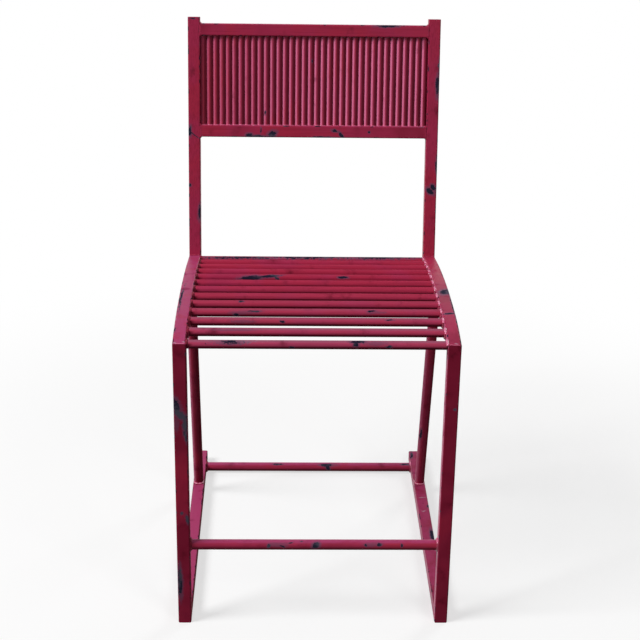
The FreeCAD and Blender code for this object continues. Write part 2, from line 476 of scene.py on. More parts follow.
def enamel(name, nodes, along, rim_axis=None, chips=(), wear=(), scuffs=(), thinned=(), flakes=0.5,
           darker=0.0, redder=0.0, fade=(1.0, 1.0), gloss=1.0, bare=0.0, dirt_below=0.0,
           worn_top=0.0, sunned_front=None, grimy_ends=False, framed=False, dark_flanks=(),
           sunned_flank=None):
    """Brushed crimson enamel over blue-black primer on mild steel, chipped and rubbed by use.

    The coat is semi-gloss and dried with faint brush marks along the tube, so highlights are soft and
    a little broken. Light and shade are painted into its colour: a chalky pink painted sheen in
    blotches on the faces that look up, painted light in pink on faces turned to the lamps, and painted
    shade in its grooves, on its undersides, on inner faces and at joint ends, over random dark blotches
    of dirt. Chips go down to the primer, with ragged edges, thinned paint round them and blackened
    steel, too dull to shine as metal, in the middle.

    The brush followed the axis named by along. A square tube's rim_axis is square to two of its faces,
    which tells its rounded corners, where the coat is rubbed, from its faces. chips, wear, scuffs and
    thinned are marks that the photograph shows. flakes is how much more has come off, and darker and
    redder shift the coat's patches; darker also makes lit and shaded copies of the coat, painted shade
    above 0 and painted light below 0. One pair of shares sets the painted sheen at the chair's left and
    at its right, and bare is how much more steel shows in the chips. The rest paint shade, light, a
    highlight and wear."""
    paint = bpy.context.scene.chair_paint
    material, add = blank_material(name)
    place = add("TexCoord", {}, {}, "Object")
    facing = add("NewGeometry", {}, {}, "Normal")
    spot_across = add("SeparateXYZ", {}, {0: place}, "X")
    setback = add("SeparateXYZ", {}, {0: place}, "Y")
    sideways = add("SeparateXYZ", {}, {0: facing}, "X")
    rearward = add("SeparateXYZ", {}, {0: facing}, "Y")
    height = add("SeparateXYZ", {}, {0: facing}, "Z")

    # Texture of the coat, each pattern at its real size. Real brush marks are about 0.3 mm wide and
    # the ripples about 1 mm, which is too fine to show, so both are drawn coarser
    drift = add("TexNoise", {}, {
        "Vector": place, "Scale": 1 / paint.patch_size, "Detail": 3, "Roughness": 0.6})
    blotch = add("TexNoise", {}, {
        "Vector": place, "Scale": 1 / paint.blotch_size, "Detail": 4, "Roughness": 0.6})
    stretch = [1 / (paint.streak_length if axis == along else paint.streak_width) for axis in "XYZ"]
    combed = add("VectorMath", multiply, {0: place, 1: stretch})
    streaks = add("TexNoise", {}, {"Vector": combed, "Scale": 1, "Detail": 2, "Roughness": 0.5})
    peel = add("TexNoise", {}, {"Vector": place, "Scale": 1 / paint.peel_width, "Detail": 1})
    teeth = add("TexNoise", {}, {
        "Vector": place, "Scale": 1 / paint.chip_grain, "Detail": 4, "Roughness": 0.7})
    crumbs = add("TexNoise", {}, {
        "Vector": place, "Scale": 1 / paint.flake_width, "Detail": 5, "Roughness": 0.62})

    # Colour of the sound coat, with painted sheen, painted light and painted shade laid into it
    # darker shifts the deep patches; set per family, it also makes lit and shaded copies of the coat:
    # painted shade above 0, painted light below 0
    thick = add("MapRange", smooth, {
        "Value": drift, "From Min": 0.38 - darker, "From Max": 0.68 - darker})
    thin = add("MapRange", smooth, {
        "Value": drift, "From Min": 0.52 + redder, "From Max": 0.36 + redder, "To Max": 0.8})
    tone = add("Mix", colour, {0: thin, 6: (*paint.enamel, 1), 7: (*paint.ruddy, 1)}, 2)
    brushed = add("MapRange", smooth, {
        "Value": streaks, "From Min": 0.42, "From Max": 0.7, "To Max": 0.5})
    thick = add("Math", larger, {0: thick, 1: brushed})
    tone = add("Mix", colour, {0: thick, 6: tone, 7: (*paint.deep, 1)}, 2)
    # Painted sheen: faces that look up are painted a chalky pink in blotches, with one share for the
    # chair's left and one for its right
    left_fade, right_fade = fade
    faded = add("MapRange", {}, {
        "Value": spot_across, "From Min": cad_box[0].x, "From Max": cad_box[1].x, "To Min": left_fade,
        "To Max": right_fade})
    chalk = add("MapRange", smooth, {"Value": blotch, "From Min": 0.1, "From Max": 0.7, "To Max": faded})
    look_up = add("MapRange", smooth, {
        "Value": height, "From Min": 0.55, "From Max": 1.0, "To Max": chalk})
    tone = add("Mix", colour, {0: look_up, 6: tone, 7: (*paint.faded, 1)}, 2)
    # Rubbed wear and a painted highlight together: the tops of the tubes turn a greyed pink, most at the
    # front
    if worn_top:
        sat_on = add("MapRange", smooth, {
            "Value": setback, "From Min": cad_box[0].y * 0.25, "From Max": cad_box[0].y, "To Min": 0.1,
            "To Max": worn_top})
        rubbed = add("MapRange", smooth, {
            "Value": height, "From Min": 0.62, "From Max": 0.95, "To Max": sat_on})
        tone = add("Mix", colour, {0: rubbed, 6: tone, 7: (*paint.worn, 1)}, 2)
    # Painted light: faces turned to the front are painted pink, more towards the front of the chair
    if sunned_front is not None:
        rear_amount, front_amount = sunned_front
        amount = add("MapRange", {}, {
            "Value": setback, "From Min": 0.0, "From Max": cad_box[0].y, "To Min": rear_amount,
            "To Max": front_amount})
        bleached = add("MapRange", smooth, {
            "Value": rearward, "From Min": -0.25, "From Max": -0.8, "To Max": amount})
        tone = add("Mix", colour, {0: bleached, 6: tone, 7: (*paint.bleached, 1)}, 2)
    # Dark blotches of dirt at random; painted shade is added to the same mask below
    shadow = add("MapRange", smooth, {"Value": blotch, "From Min": 0.55, "From Max": 0.85})
    # Painted shade on the undersides
    if dirt_below:
        below = add("MapRange", smooth, {
            "Value": height, "From Min": 0.15, "From Max": -0.3, "To Max": dirt_below})
        shadow = add("Math", larger, {0: below, 1: shadow})
    # Painted shadow that the left rail casts on the left ends of the tubes, on their lower faces
    if grimy_ends:
        nook = add("MapRange", smooth, {"Value": height, "From Min": 0.75, "From Max": 0.3})
        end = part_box(nodes[0])[0].x
        clean_from, grimy_to = 12 * mm, 3 * mm
        corner = add("MapRange", smooth, {
            "Value": spot_across, "From Min": end + clean_from, "From Max": end + grimy_to,
            "To Max": nook})
        shadow = add("Math", larger, {0: corner, 1: shadow})
    # Painted shade on the faces of the left side frame that look right, and painted light in pink on the
    # faces of the right side frame that look left
    if framed:
        on_left = add("MapRange", {}, {
            "Value": spot_across, "From Min": 0.0, "From Max": cad_box[0].x / 2})
        inside = add("MapRange", smooth, {
            "Value": sideways, "From Min": 0.6, "From Max": 0.9, "To Max": on_left})
        shadow = add("Math", larger, {0: inside, 1: shadow})
        on_right = add("MapRange", {}, {
            "Value": spot_across, "From Min": 0.0, "From Max": cad_box[1].x / 2, "To Max": 0.55})
        bleached = add("MapRange", smooth, {
            "Value": sideways, "From Min": -0.6, "From Max": -0.9, "To Max": on_right})
        tone = add("Mix", colour, {0: bleached, 6: tone, 7: (*paint.bleached, 1)}, 2)
    # Painted shade on flanks turned away from the key light, and in the grooves between rods
    for start, end, amount in dark_flanks:
        flank = add("MapRange", smooth, {
            "Value": sideways, "From Min": start, "From Max": end, "To Max": amount})
        shadow = add("Math", larger, {0: flank, 1: shadow})
    # Painted light: flanks that look left are painted pink in blotches, in given shares at the chair's
    # left and right
    if sunned_flank is not None:
        start, end, left_amount, right_amount = sunned_flank
        amount = add("MapRange", smooth, {
            "Value": spot_across, "From Min": cad_box[0].x, "From Max": cad_box[1].x / 4,
            "To Min": left_amount, "To Max": right_amount})
        patchy = add("MapRange", smooth, {
            "Value": blotch, "From Min": 0.0, "From Max": 0.4, "To Max": amount})
        bleached = add("MapRange", smooth, {
            "Value": sideways, "From Min": start, "From Max": end, "To Max": patchy})
        tone = add("Mix", colour, {0: bleached, 6: tone, 7: (*paint.bleached, 1)}, 2)
    # The dirt and painted shade mask darkens the coat towards the grime and shade colour
    stain_strength = 0.85
    stain = add("Math", multiply, {0: shadow, 1: stain_strength})
    tone = add("Mix", colour, {0: stain, 6: tone, 7: (*paint.grime, 1)}, 2)

    # Small flakes, rubbed corners and scuffs
    firm, loose = 0.80 - 0.12 * flakes, 0.815 - 0.12 * flakes
    gone = add("MapRange", smooth, {"Value": crumbs, "From Min": firm, "From Max": loose})
    if rim_axis is not None:
        lean = add("VectorMath", {"operation": "DOT_PRODUCT"}, {0: facing, 1: rim_axis}, "Value")
        slope = add("Math", {"operation": "ABSOLUTE"}, {0: lean})
        inner = add("MapRange", smooth, {"Value": slope, "From Min": 0.08, "From Max": 0.4})
        rim = add("MapRange", smooth, {
            "Value": slope, "From Min": 0.995, "From Max": 0.85, "To Max": inner})
        rubbed = add("MapRange", smooth, {
            "Value": crumbs, "From Min": 0.56, "From Max": 0.6, "To Max": rim})
        gone = add("Math", larger, {0: gone, 1: rubbed})
    steel = surface(*nodes)
    bend = add("TexNoise", {}, {"Vector": place, "Scale": 1 / paint.chip_bend, "Detail": 2}, "Color")
    reach_of_bend = 0.6 * paint.chip_bend
    sway = add("VectorMath", multiply_add, {
        0: bend, 1: [reach_of_bend] * 3, 2: [-reach_of_bend / 2] * 3})
    bent = add("VectorMath", {"operation": "ADD"}, {0: place, 1: sway})
    if scuffs:
        reach = nearest_mark(add, bent, steel, scuffs)
        raggedness = 4.0
        inside = add("Math", {"operation": "SUBTRACT"}, {0: reach, 1: raggedness / 2})
        rubbed = add("Math", multiply_add, {0: teeth, 1: raggedness, 2: inside})
        rubbed = add("MapRange", smooth, {
            "Value": rubbed, "From Min": 1.0, "From Max": 0.5, "To Max": 0.65})
        tone = add("Mix", colour, {0: rubbed, 6: tone, 7: (*paint.scuff, 1)}, 2)

    # Chips on the back and the outer sides, which the photograph doesn't show
    outward = add("Math", multiply, {0: sideways, 1: spot_across})
    outward = add("Math", multiply, {0: outward, 1: 1 / cad_box[1].x})
    far_side = add("Math", larger, {0: rearward, 1: outward})
    never_chips, usual_flakes = 2.0, 0.5
    hold = add("MapRange", smooth, {
        "Value": far_side, "From Min": 0.5, "From Max": 0.8, "To Min": never_chips,
        "To Max": paint.far_hold + 0.1 * (usual_flakes - flakes)})
    stretch = [1 / (paint.far_chip_length if axis == along else paint.far_chip_width) for axis in "XYZ"]
    drawn = add("VectorMath", multiply, {0: place, 1: stretch})
    islands = add("TexNoise", {}, {"Vector": drawn, "Scale": 1, "Detail": 2})
    ragged = add("Math", multiply_add, {0: teeth, 1: 0.3, 2: islands})
    lifted = add("Math", {"operation": "SUBTRACT"}, {0: ragged, 1: hold})
    chipped = add("MapRange", smooth, {"Value": lifted, "From Max": 0.015})
    gone = add("Math", larger, {0: gone, 1: chipped})
    halo = add("MapRange", smooth, {"Value": lifted, "From Min": -0.06, "From Max": 0.0, "To Max": 0.8})

    # Thinned paint, chips and rubbed places that the photograph shows
    if thinned:
        reach = nearest_mark(add, bent, steel, thinned)
        uneven = add("Math", multiply_add, {0: teeth, 1: 1.2, 2: reach})
        hazy = add("MapRange", smooth, {"Value": uneven, "From Min": 1.7, "From Max": 1.0, "To Max": 0.6})
        halo = add("Math", larger, {0: halo, 1: hazy})
    for marks, raggedness, balance in ((chips, 1.4, 0.47), (wear, 3.2, 0.36)):
        if marks:
            reach = nearest_mark(add, bent, steel, marks)
            inside = add("Math", {"operation": "SUBTRACT"}, {0: reach, 1: raggedness * balance})
            broken = add("Math", multiply_add, {0: teeth, 1: raggedness, 2: inside})
            chipped = add("MapRange", smooth, {"Value": broken, "From Min": 1.0, "From Max": 0.9})
            gone = add("Math", larger, {0: gone, 1: chipped})
            around = add("MapRange", smooth, {
                "Value": broken, "From Min": 1.9, "From Max": 1.0, "To Max": 0.8})
            halo = add("Math", larger, {0: halo, 1: around})
    tone = add("Mix", colour, {0: halo, 6: tone, 7: (*paint.halo, 1)}, 2)
    bared = add("MapRange", smooth, {"Value": blotch, "From Min": 0.5 - bare, "From Max": 0.66 - bare})
    under = add("Mix", colour, {0: bared, 6: (*paint.primer, 1), 7: (*paint.steel, 1)}, 2)
    tone = add("Mix", colour, {0: gone, 6: tone, 7: under}, 2)

    # Gloss and relief. The heights are in metres, so the bump takes them as they are
    dull = add("Math", larger, {0: gone, 1: shadow})
    if worn_top:
        polished_off = add("MapRange", smooth, {"Value": height, "From Min": 0.6, "From Max": 0.85})
        dull = add("Math", larger, {0: dull, 1: polished_off})
    sound = add("MapRange", {}, {
        "Value": blotch, "From Min": 0.25, "From Max": 0.75, "To Min": paint.gloss_roughness - 0.05,
        "To Max": paint.gloss_roughness + 0.12})
    bare_roughness = 0.85
    roughness = add("MapRange", {}, {"Value": dull, "To Min": sound, "To Max": bare_roughness})
    relief = add("Math", multiply, {0: streaks, 1: paint.streak_height})
    relief = add("Math", multiply_add, {0: peel, 1: paint.peel_height, 2: relief})
    relief = add("Math", multiply_add, {0: gone, 1: -paint.chip_depth, 2: relief})
    bumped = add("Bump", {}, {"Height": relief, "Distance": 1.0, "Strength": 1.0})
    shader = add("BsdfPrincipled", {}, {
        "Base Color": tone, "Roughness": roughness, "Normal": bumped,
        "Specular IOR Level": paint.gloss * gloss})
    add("OutputMaterial", {}, {"Surface": shader})
    return material


def enamel_on_welds(name, state):
    """The same enamel over weld metal, with dirt in the ripples.

    On a flooded bead it lies thick and shines, and the crest that faces up is painted a light pink, a
    painted highlight, so the ripples show bright points. On a dressed bead, ground back, it is as dull
    as on the tubes, and the joint nearly disappears. On a shaded bead its colour is darkened as
    painted shade, and the joint looks like a dark notch."""
    paint, weld = bpy.context.scene.chair_paint, bpy.context.scene.chair_welds
    high, low, roughness, specular = {
        "flooded": (paint.enamel, paint.deep, 0.25, 0.5),
        "dressed": (paint.enamel, paint.deep, 0.36, paint.gloss),
        # A shaded bead is darkened all over as painted shade
        "grimy": (paint.deep, paint.grime, 0.6, paint.gloss)}[state]
    material, add = blank_material(name)
    place = add("TexCoord", {}, {}, "Object")
    blotch = add("TexNoise", {}, {
        "Vector": place, "Scale": 1 / weld.scale_size, "Detail": 3, "Roughness": 0.6})
    thick = add("MapRange", smooth, {"Value": blotch, "From Min": 0.3, "From Max": 0.7})
    tone = add("Mix", colour, {0: thick, 6: (*high, 1), 7: (*low, 1)}, 2)
    # Painted highlight: the crest of a flooded bead that faces up is painted a light pink
    if state == "flooded":
        facing = add("NewGeometry", {}, {}, "Normal")
        height = add("SeparateXYZ", {}, {0: facing}, "Z")
        crest = add("MapRange", smooth, {"Value": height, "From Min": 0.35, "From Max": 0.8})
        tone = add("Mix", colour, {0: crest, 6: tone, 7: (*paint.bleached, 1)}, 2)
    gone = add("MapRange", smooth, {"Value": blotch, "From Min": 0.74, "From Max": 0.77})
    tone = add("Mix", colour, {0: gone, 6: tone, 7: (*paint.primer, 1)}, 2)
    relief = add("Math", multiply, {0: blotch, 1: weld.scale_height})
    bumped = add("Bump", {}, {"Height": relief, "Distance": 1.0, "Strength": 1.0})
    shader = add("BsdfPrincipled", {}, {
        "Base Color": tone, "Roughness": roughness, "Normal": bumped, "Specular IOR Level": specular})
    add("OutputMaterial", {}, {"Surface": shader})
    return material


def finish_nodes(name, nodes, along, caps=(), **wear):
    """Enamel CAD nodes and their caps with one material made under the given name."""
    material = enamel(name, nodes, along, **wear)
    for node in (*nodes, *caps):
        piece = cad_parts[node]
        piece.data.materials.clear()
        piece.data.materials.append(material)


# Weld beads

Station = namedtuple("Station", "corner over_base over_tube")


def corners_of(points):
    """Lowest and highest corners of the box round some points."""
    return [Vector([pick(point[axis] for point in points) for axis in range(3)]) for pick in (min, max)]


def end_middles(node, direction):
    """Middles of the two ends of a straight piece that runs roughly along direction."""
    points = [vertex.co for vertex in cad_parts[node].data.vertices]
    low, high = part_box(node)
    half_way = ((low + high) / 2).dot(direction)
    near = [point for point in points if point.dot(direction) < half_way]
    far = [point for point in points if point.dot(direction) >= half_way]
    return [sum(corners_of(end), Vector()) / 2 for end in (near, far)]


def ring(start, run, radius, base):
    """Stations round the end of a round tube that runs from start into a face of the base."""
    run = run.normalized()
    count = round(math.tau * radius / bpy.context.scene.chair_welds.station_gap)
    hit, normal, _, _ = base.ray_cast(start, run)
    if hit is None:
        raise RuntimeError("A tube that is to be welded meets no face of the piece that it should join")
    side = run.orthogonal().normalized()
    stations = []
    for step in range(count):
        spoke = Matrix.Rotation(math.tau * step / count, 3, run) @ side
        edge = start + spoke * radius
        corner = edge + run * (hit - edge).dot(normal) / run.dot(normal)
        outward = (spoke - normal * spoke.dot(normal)).normalized()
        stations.append(Station(corner, outward, -run))
    return stations


def square_ring(middle, run, upward, half_side):
    """Stations round the end of a square tube whose end face, centred on middle, butts a flat face."""
    weld = bpy.context.scene.chair_welds
    beside = run.cross(upward).normalized()
    flat = half_side - weld.tube_corner
    count = round(2 * flat / weld.station_gap)
    corner_steps = 4
    stations = []
    for quarter in range(4):
        turn = Matrix.Rotation(quarter * math.pi / 2, 3, run)
        for step in range(count):
            slide = flat * (2 * step / count - 1)
            offset, outward = beside * half_side + upward * slide, beside
            stations.append(Station(middle + turn @ offset, turn @ outward, -run))
        for step in range(corner_steps):
            angle = math.pi / 2 * step / corner_steps
            outward = beside * math.cos(angle) + upward * math.sin(angle)
            offset = (beside + upward) * flat + outward * weld.tube_corner
            stations.append(Station(middle + turn @ offset, turn @ outward, -run))
    return stations


def line_of_stations(start, finish, over_base, over_tube):
    """Stations along a straight seam."""
    steps = round((finish - start).length / bpy.context.scene.chair_welds.station_gap)
    return [Station(start.lerp(finish, step / steps), over_base, over_tube) for step in range(steps + 1)]


def inside_box(point):
    """The point, brought just inside the CAD box if it lies outside."""
    low, high = cad_box
    margin = 0.05 * mm
    return Vector([min(max(point[axis], low[axis] + margin), high[axis] - margin) for axis in range(3)])


def lay_bead(metal, stations, leg, crown, base, tube, closed=True, outward=None):
    """Weld bead from the base's face to the tube's, rippled as the pool froze, as a closed solid."""
    weld = bpy.context.scene.chair_welds
    hand = random.Random(len(metal.verts))
    spans = [(stations[place].corner - stations[place - 1].corner).length
             for place in range(len(stations))]
    length = sum(spans[0 if closed else 1:])

    # No two ripples are equally large, each rises a little in its middle, and an open bead swells in
    # from narrow ends
    least_swell, most_swell = 0.82, 1.18
    trough, rise = 0.95, 0.08
    end_swell, end_growth = 0.45, 4
    fewest_ripples, section_points, root_sinks = 3, 6, 3
    ripples = max(round(length / weld.ripple), fewest_ripples)
    drift = [hand.uniform(least_swell, most_swell) for _ in range(ripples)]
    loops, travelled = [], 0.0
    for place, station in enumerate(stations):
        travelled += spans[place] if place else 0.0
        phase = travelled / length * ripples
        ripple, share = int(phase) % ripples, phase % 1.0
        swell = drift[ripple] * (1 - share) + drift[(ripple + 1) % ripples] * share
        swell *= trough + rise * math.sin(math.pi * share)
        if not closed:
            swell *= min(1.0, end_swell + end_growth * min(travelled, length - travelled) / length)
        away = outward or (station.over_base + station.over_tube).normalized()
        toe_on_base = base.find_nearest(station.corner + station.over_base * leg * swell)[0]
        toe_on_tube = tube.find_nearest(station.corner + station.over_tube * leg * swell)[0]
        loop = [station.corner - away * weld.sink * root_sinks]
        for step in range(section_points):
            share = step / (section_points - 1)
            chord = toe_on_base.lerp(toe_on_tube, share)
            lift = crown * leg * swell * math.sin(math.pi * share) - weld.sink * (share in (0, 1))
            loop.append(chord + away * lift)
        loops.append([metal.verts.new(inside_box(point)) for point in loop])
    around = section_points + 1
    for place in range(0 if closed else 1, len(loops)):
        before, after = loops[place - 1], loops[place]
        for step in range(around):
            other = (step + 1) % around
            face = metal.faces.new((before[step], before[other], after[other], after[step]))
            face.smooth = True
    if not closed:
        metal.faces.new(loops[0])
        metal.faces.new(reversed(loops[-1]))


def weld_level_tube(metal, node, run, base, leg):
    """Bead round the end of a level round tube that meets the base in the direction of run."""
    low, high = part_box(node)
    stations = ring((low + high) / 2, run, (high.z - low.z) / 2, base)
    lay_bead(metal, stations, leg, bpy.context.scene.chair_welds.crown, base, surface(node))


def add_piece(name, metal, material, left_material=None):
    """Turn finished bead metal into a piece that moves with the chair. Its left half may differ."""
    bmesh.ops.recalc_face_normals(metal, faces=metal.faces)
    mesh = bpy.data.meshes.new(name)
    metal.to_mesh(mesh)
    metal.free()
    mesh.materials.append(material)
    if left_material is not None:
        mesh.materials.append(left_material)
        for face in mesh.polygons:
            face.material_index = int(face.center.x < 0)
    piece = bpy.data.objects.new(name, mesh)
    bpy.context.scene.collection.objects.link(piece)
    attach(piece, "root")


def weld_material(state):
    """The finish of all beads in one state, made when it is first needed."""
    name = "enamel_on_" + state + "_welds"
    return bpy.data.materials.get(name) or enamel_on_welds(name, state)


def lean_direction():
    """Direction of the back's upright pieces, from foot to top."""
    foot, top = end_middles(rod_pairs[0], up)
    return (top - foot).normalized()


# Operators that finish the CAD pieces

class CHAIR_OT_finish_side_frames(bpy.types.Operator):
    """Enamel the front legs, seat rails, floor runners and rear legs"""
    bl_idname = "chair.finish_side_frames"
    bl_label = "Finish side frames"

    def execute(self, context):
        # Front legs: darker paints shade; framed paints shade on the left leg's inner face and light on
        # the right leg's
        finish_nodes("enamel_on_front_legs", pair("front_leg"), "Z", rim_axis=across,
                     chips=front_leg_chips, thinned=front_leg_thinned, darker=0.14, gloss=0.5, bare=0.1,
                     framed=True)
        # Side rails: painted sheen strong on the left rail and weak on the right; framed paints
        # inner-face shade and light
        finish_nodes("enamel_on_side_rails", pair("side_rail"), "Y", rim_axis=across, chips=rail_chips,
                     wear=rail_wear, scuffs=rail_scuffs, fade=(1.5, 0.2), gloss=0.5, framed=True)
        # Runners: darker paints shade; painted sheen strongest on the left; framed paints inner-face
        # shade and light
        finish_nodes("enamel_on_runners", pair("floor_runner"), "Y", pair("runner_cap"),
                     rim_axis=across, chips=runner_chips, scuffs=runner_scuffs, darker=0.2,
                     fade=(2.4, 0.8), gloss=0.35, framed=True)
        # Rear legs: the left one darker as painted shade, the right one lighter as painted light; painted
        # shade on the flank that looks right, painted light on the flank that looks left
        for leg, darker, chips in zip(pair("rear_leg"), (0.1, -0.1), ((), rear_leg_chips)):
            finish_nodes("enamel_on_" + leg, [leg], "Z", chips=chips, darker=darker, gloss=0.5,
                         dark_flanks=((0.1, 0.75, 0.85),), sunned_flank=(-0.35, -0.85, 0.5, 0.5))
        return {"FINISHED"}


class CHAIR_OT_finish_seat(bpy.types.Operator):
    """Enamel the cross tubes of the seat"""
    bl_idname = "chair.finish_seat"
    bl_label = "Finish seat"

    def execute(self, context):
        # Seat: darker below 0 paints light; painted shade on the undersides and at the left ends; worn
        # tops partly a painted highlight; painted light on the front flanks
        finish_nodes("enamel_on_seat_tubes", seat_tubes, "X", chips=seat_chips, wear=seat_wear,
                     scuffs=seat_scuffs, thinned=seat_thinned, darker=-0.18, redder=0.1,
                     fade=(0.0, 0.0), gloss=0.4, dirt_below=1.0, worn_top=0.95,
                     sunned_front=(0.0, 0.2), grimy_ends=True)
        return {"FINISHED"}


class CHAIR_OT_finish_back(bpy.types.Operator):
    """Enamel the posts, rails and rods of the back"""
    bl_idname = "chair.finish_back"
    bl_label = "Finish back"

    def execute(self, context):
        caps = pair("post_top_cap") + pair("post_foot_cap")
        # Posts and back rails: darker below 0 paints them lighter, as painted light
        finish_nodes("enamel_on_posts", pair("back_post"), "Z", caps, rim_axis=across,
                     chips=post_chips, darker=-0.28, gloss=0.9)
        finish_nodes("enamel_on_back_rails", ["back_top_rail", "back_bottom_rail"], "X",
                     rim_axis=lean_direction(), chips=back_rail_chips, darker=-0.07)
        # Painted shade in the grooves between rods and on the flank that looks right; painted light on
        # the flank that looks left; darker below 0 paints light
        grooves = ((-0.85, -0.98, 0.9), (-0.1, 0.3, 0.8), (0.8, 0.97, 0.9))
        finish_nodes("enamel_on_rods", rod_pairs, "Z", chips=rod_chips, flakes=0.2, darker=-0.12,
                     gloss=1.6, dark_flanks=grooves, sunned_flank=(-0.2, -0.45, 0.42, 1.0))
        return {"FINISHED"}


class CHAIR_OT_finish_rungs(bpy.types.Operator):
    """Enamel the front and rear rungs"""
    bl_idname = "chair.finish_rungs"
    bl_label = "Finish rungs"

    def execute(self, context):
        # Rungs: painted sheen on the tops and painted shade on the undersides; darker below 0 paints
        # light
        finish_nodes("enamel_on_rungs", ["front_rung", "rear_rung"], "X", chips=rung_chips,
                     thinned=rung_thinned, darker=-0.06, fade=(1.6, 1.6), gloss=1.2, dirt_below=0.8)
        return {"FINISHED"}


# Operators that lay the welds

class CHAIR_OT_weld_seat(bpy.types.Operator):
    """Lay a bead round both ends of each seat tube"""
    bl_idname = "chair.weld_seat"
    bl_label = "Weld seat tubes"

    def execute(self, context):
        weld = context.scene.chair_welds
        for side, run in side_runs:
            metal = bmesh.new()
            rail = surface("side_rail_" + side)
            for node in seat_tubes:
                weld_level_tube(metal, node, run, rail, weld.seat_leg)
            # The beads at the left ends take the shaded finish: painted shade
            add_piece("welds_seat_tubes_" + side, metal,
                      weld_material("grimy" if side == "left" else "flooded"))
        return {"FINISHED"}


class CHAIR_OT_weld_rods(bpy.types.Operator):
    """Lay a small bead round both ends of each back rod"""
    bl_idname = "chair.weld_rods"
    bl_label = "Weld back rods"

    def execute(self, context):
        weld = context.scene.chair_welds
        lean = lean_direction()
        for end, run, rail_name in (("foot", -lean, "back_bottom_rail"), ("top", lean, "back_top_rail")):
            metal = bmesh.new()
            rail = surface(rail_name)
            for node in rod_pairs:
                low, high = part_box(node)
                foot, top = end_middles(node, up)
                quarter = (high.x - low.x) / 4
                for offset in (-quarter, quarter):
                    middle = (foot + top) / 2 + across * offset
                    ends = ring(middle, run, quarter, rail)
                    lay_bead(metal, ends, weld.rod_leg, weld.crown, rail, surface(node))
            add_piece("welds_rods_" + end, metal, weld_material("flooded"))
        return {"FINISHED"}


class CHAIR_OT_fill_rod_joints(bpy.types.Operator):
    """Run enamel into the hairlines between the back rods, as the brush leaves it"""
    bl_idname = "chair.fill_rod_joints"
    bl_label = "Fill rod joints"

    def execute(self, context):
        paint = context.scene.chair_paint
        lean = lean_direction()
        thick = lean.cross(across)
        low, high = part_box(rod_pairs[0])
        pitch = (high.x - low.x) / 2
        metal = bmesh.new()
        for node in rod_pairs:
            foot, top = end_middles(node, up)
            for offset in (0, pitch):
                if node == rod_pairs[-1] and offset:
                    continue
                corners = []
                for end, inset in ((foot, 1), (top, -1)):
                    for beside, depth in ((-1, -1), (1, -1), (1, 1), (-1, 1)):
                        place = end + lean * inset * paint.chip_depth + across * offset
                        place += across * beside * paint.joint_width / 2
                        place += thick * depth * paint.joint_depth / 2
                        corners.append(metal.verts.new(place))
                at_foot, at_top = corners[:4], corners[4:]
                for step in range(4):
                    other = (step + 1) % 4
                    metal.faces.new((at_foot[step], at_foot[other], at_top[other], at_top[step]))
                metal.faces.new(at_foot)
                metal.faces.new(at_top)
        add_piece("enamel_in_rod_joints", metal, weld_material("dressed"))
        return {"FINISHED"}


class CHAIR_OT_weld_back_rails(bpy.types.Operator):
    """Lay beads where the back's two rails meet its posts"""
    bl_idname = "chair.weld_back_rails"
    bl_label = "Weld back rails"

    def execute(self, context):
        weld = context.scene.chair_welds
        lean = lean_direction()
        low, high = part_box("back_post_left")
        half_side = (high.x - low.x) / 2
        metal = bmesh.new()
        for rail in ("back_top_rail", "back_bottom_rail"):
            ends = end_middles(rail, across)
            for (side, run), middle in zip(side_runs, ends):
                lay_bead(metal, square_ring(middle, run, lean, half_side), weld.frame_leg,
                         weld.dressed_crown, surface("back_post_" + side), surface(rail))
        add_piece("welds_back_rails", metal, weld_material("dressed"))
        return {"FINISHED"}


class CHAIR_OT_weld_side_frames(bpy.types.Operator):
    """Lay the seams on the mitres and the beads where seat rails meet back posts"""
    bl_idname = "chair.weld_side_frames"
    bl_label = "Weld side frames"

    def execute(self, context):
        weld = context.scene.chair_welds
        lean = lean_direction()
        rearward = lean.cross(across)
        for side, run in side_runs:
            metal = bmesh.new()
            rail_node, leg_node = "side_rail_" + side, "front_leg_" + side
            rail, post, leg = surface(rail_node), surface("back_post_" + side), surface(leg_node)
            points = [vertex.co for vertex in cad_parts[rail_node].data.vertices]
            reach = max(point.dot(rearward) for point in points)
            end = [point for point in points if point.dot(rearward) > reach - hair]
            low, high = corners_of(end)
            stations = square_ring((low + high) / 2, rearward, lean, (high.x - low.x) / 2)
            lay_bead(metal, stations, weld.frame_leg, weld.dressed_crown, post, rail)

            # Seams on the inner faces of the two mitres
            low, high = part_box(leg_node)
            inner_x = high.x if side == "left" else low.x
            back_face = [vertex.co.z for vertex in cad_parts[leg_node].data.vertices
                         if vertex.co.y > high.y - hair]
            for outer_z, inner_z, other in ((high.z, max(back_face), rail),
                                            (low.z, min(back_face), surface("floor_runner_" + side))):
                start = Vector((inner_x, low.y + weld.tube_corner, outer_z))
                start.z += (inner_z - outer_z) * weld.tube_corner / (high.y - low.y)
                finish = Vector((inner_x, high.y - weld.tube_corner / 2, inner_z))
                beside = (start - finish).cross(run).normalized()
                stations = line_of_stations(start, finish, beside, -beside)
                lay_bead(metal, stations, weld.seam_half_width, weld.crown, other, leg, closed=False,
                         outward=-run)
            add_piece("welds_side_frame_" + side, metal, weld_material("dressed"))
        return {"FINISHED"}


